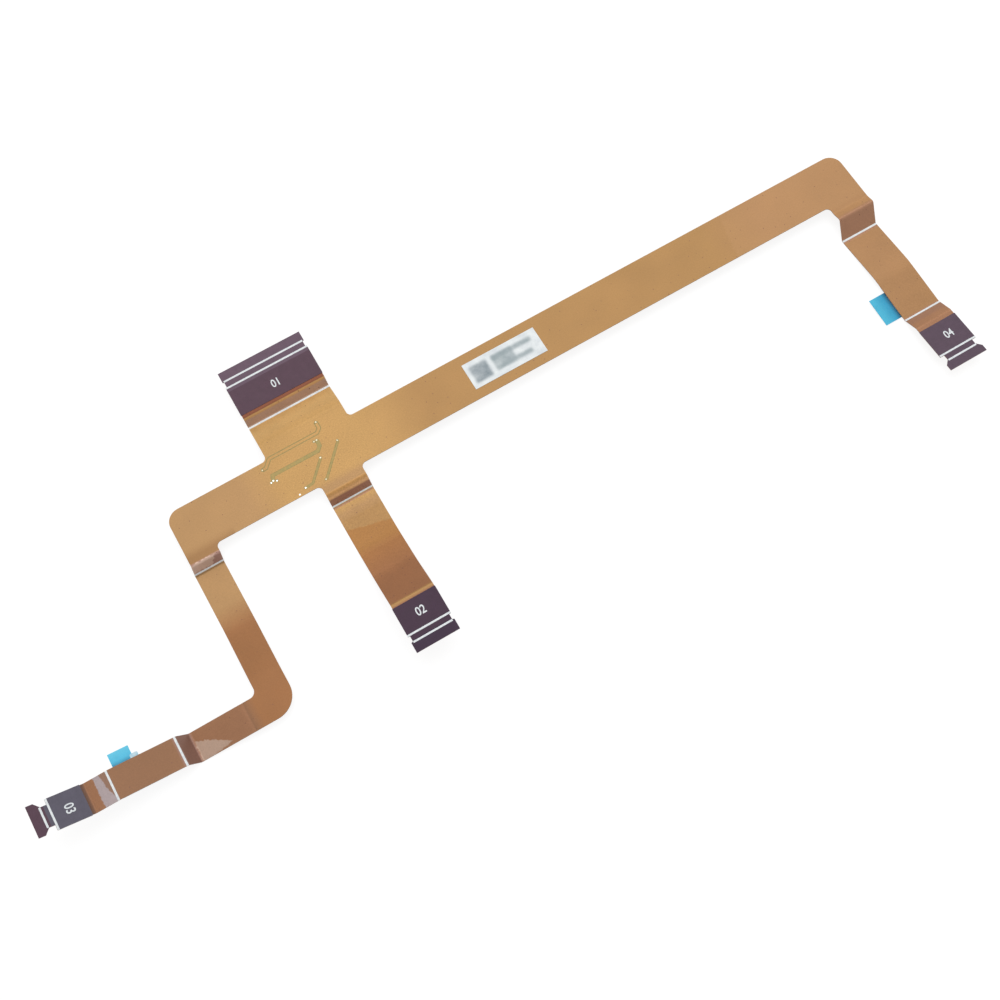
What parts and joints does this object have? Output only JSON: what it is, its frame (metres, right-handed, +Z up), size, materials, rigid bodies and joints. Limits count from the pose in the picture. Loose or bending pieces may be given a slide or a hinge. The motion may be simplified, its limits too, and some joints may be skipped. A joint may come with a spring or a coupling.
{
  "type": "flat flexible touchpad cable",
  "caption": "Branched flat flexible cable of amber film with stiffened plug ends, notched locking ears, formed bends and peel-off adhesive pads.",
  "frame": {"origin": "middle of the cable's outline, on the floor that its lowest folds lie on", "axes": "+X along the trunk towards the antenna branch, +Y in the plane towards the board branch, +Z up, with the printed side up"},
  "size_m": [0.2228, 0.0832, 0.0113],
  "materials": {
    "polyimide_base": "satin",
    "polyimide_coverlay": "glossy amber film",
    "copper_foil": "satin",
    "gold_plating": "polished",
    "stiffener_film": "glossy dark purple film",
    "white_ink": "matte print",
    "label_paper": "matte",
    "adhesive_film": "clear",
    "release_liner": "glossy",
    "blue_film": "glossy"
  },
  "bodies": {
    "root": {"antenna_adhesive": "adhesive_film", "antenna_contacts": "gold_plating", "antenna_insertion_lines": "white_ink", "antenna_liner": "release_liner", "antenna_pull_tab": "blue_film", "antenna_stiffener": "stiffener_film", "base_film": "polyimide_base", "board_contacts": "gold_plating", "board_insertion_lines": "white_ink", "board_stiffener": "stiffener_film", "bottom_coverlay": "polyimide_coverlay", "folding_lines": "white_ink", "ground_copper": "copper_foil", "jumper_traces": "copper_foil", "label": "label_paper", "reader_adhesive": "adhesive_film", "reader_contacts": "gold_plating", "reader_insertion_lines": "white_ink", "reader_liner": "release_liner", "reader_pull_tab": "blue_film", "reader_stiffener": "stiffener_film", "signal_copper": "copper_foil", "top_coverlay": "polyimide_coverlay", "touchpad_contacts": "gold_plating", "touchpad_insertion_lines": "white_ink", "touchpad_stiffener": "stiffener_film", "via_barrels": "copper_foil"}
  },
  "joints": []
}
